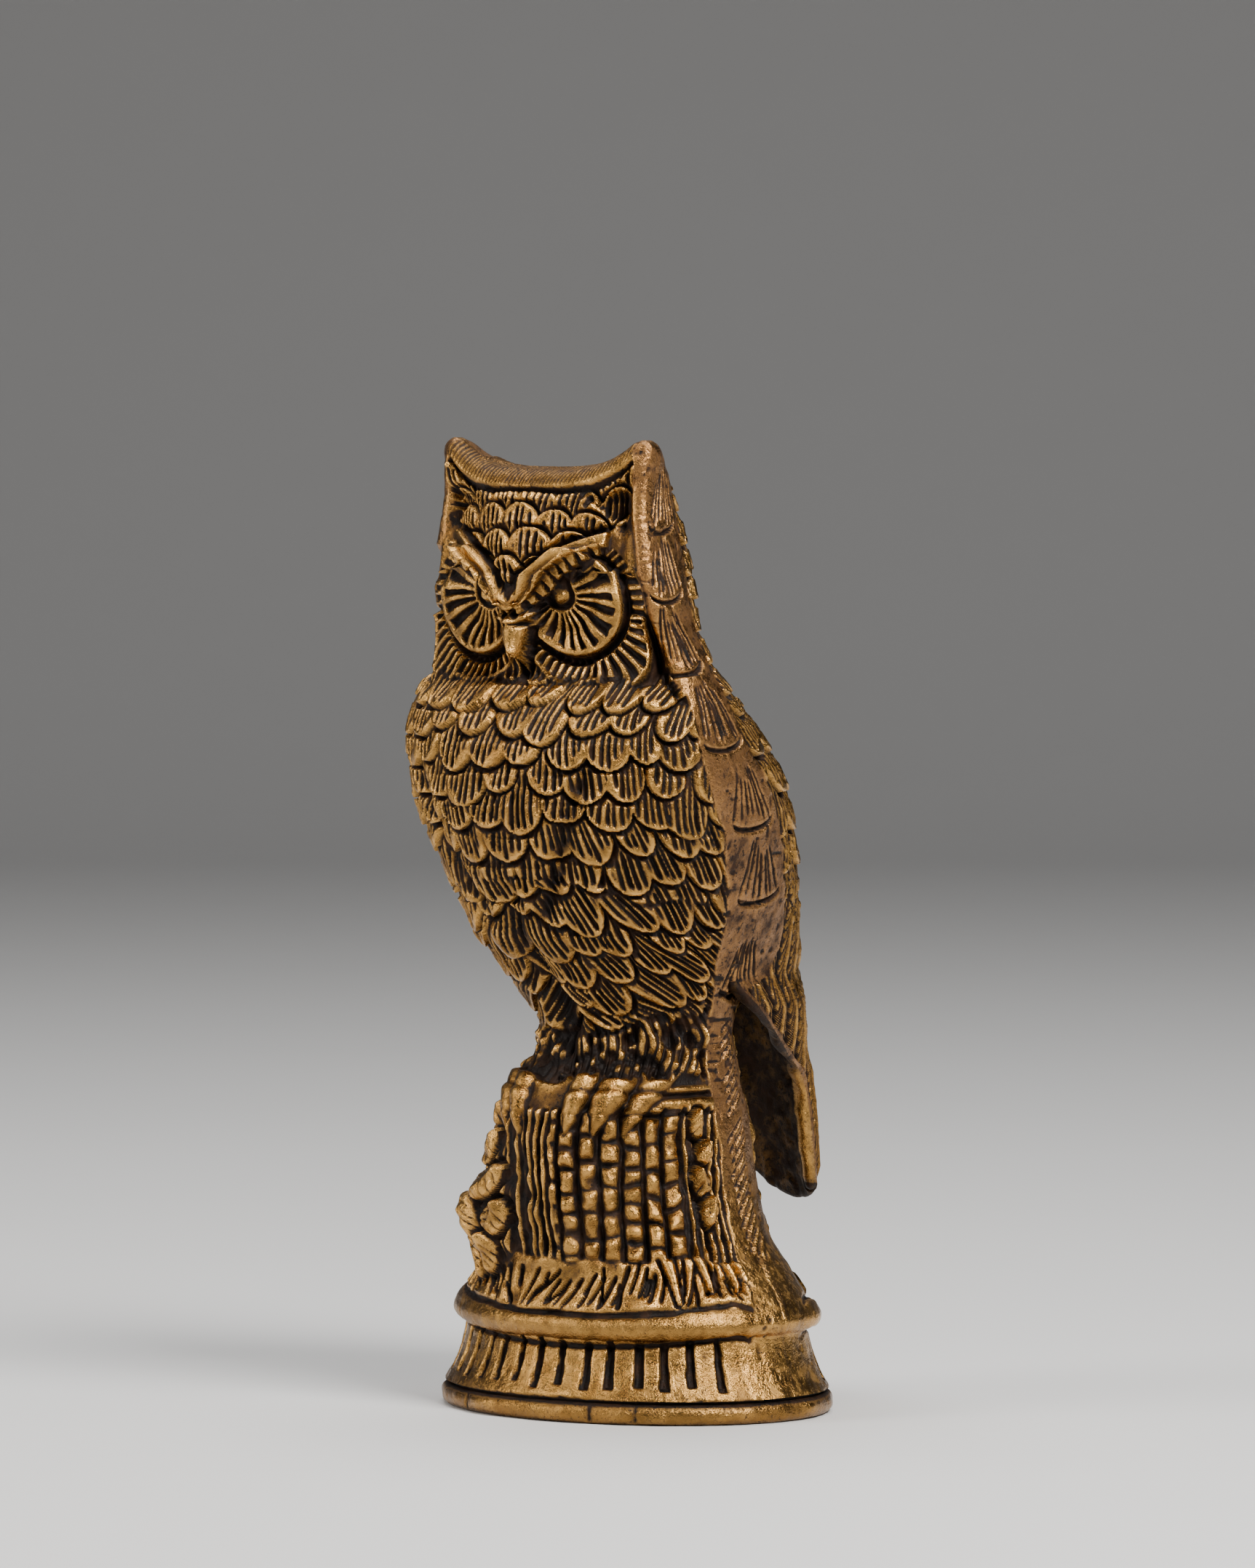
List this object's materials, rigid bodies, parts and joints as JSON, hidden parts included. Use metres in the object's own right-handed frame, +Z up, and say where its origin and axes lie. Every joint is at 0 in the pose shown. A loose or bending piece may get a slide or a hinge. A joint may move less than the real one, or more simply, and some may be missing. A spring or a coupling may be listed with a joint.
{
  "type": "owl figurine",
  "caption": "Hollow cast brass owl perched on a tree stump over an oval moulded plinth, brazed from a front and two rear castings.",
  "frame": {"origin": "on the flat resting face, under the middle of the oval plinth", "axes": "+Z up, the owl faces -Y, +X is the owl's left wing side"},
  "size_m": [0.0566, 0.0612, 0.1294],
  "materials": {
    "cast_brass": "as cast, rubbed bright on the high places, dark brown patina in the hollows",
    "seam_brass": "filed smooth and hand engraved, slightly coppery"
  },
  "bodies": {
    "root": {"front_casting": "cast_brass", "back_casting": "cast_brass", "stump_back_casting": "cast_brass", "seam_braze_left": "seam_brass", "seam_braze_right": "seam_brass", "seam_braze_crown": "seam_brass", "tail_root_braze": "seam_brass", "sole_plate": "cast_brass", "sole_braze": "seam_brass"}
  },
  "joints": []
}
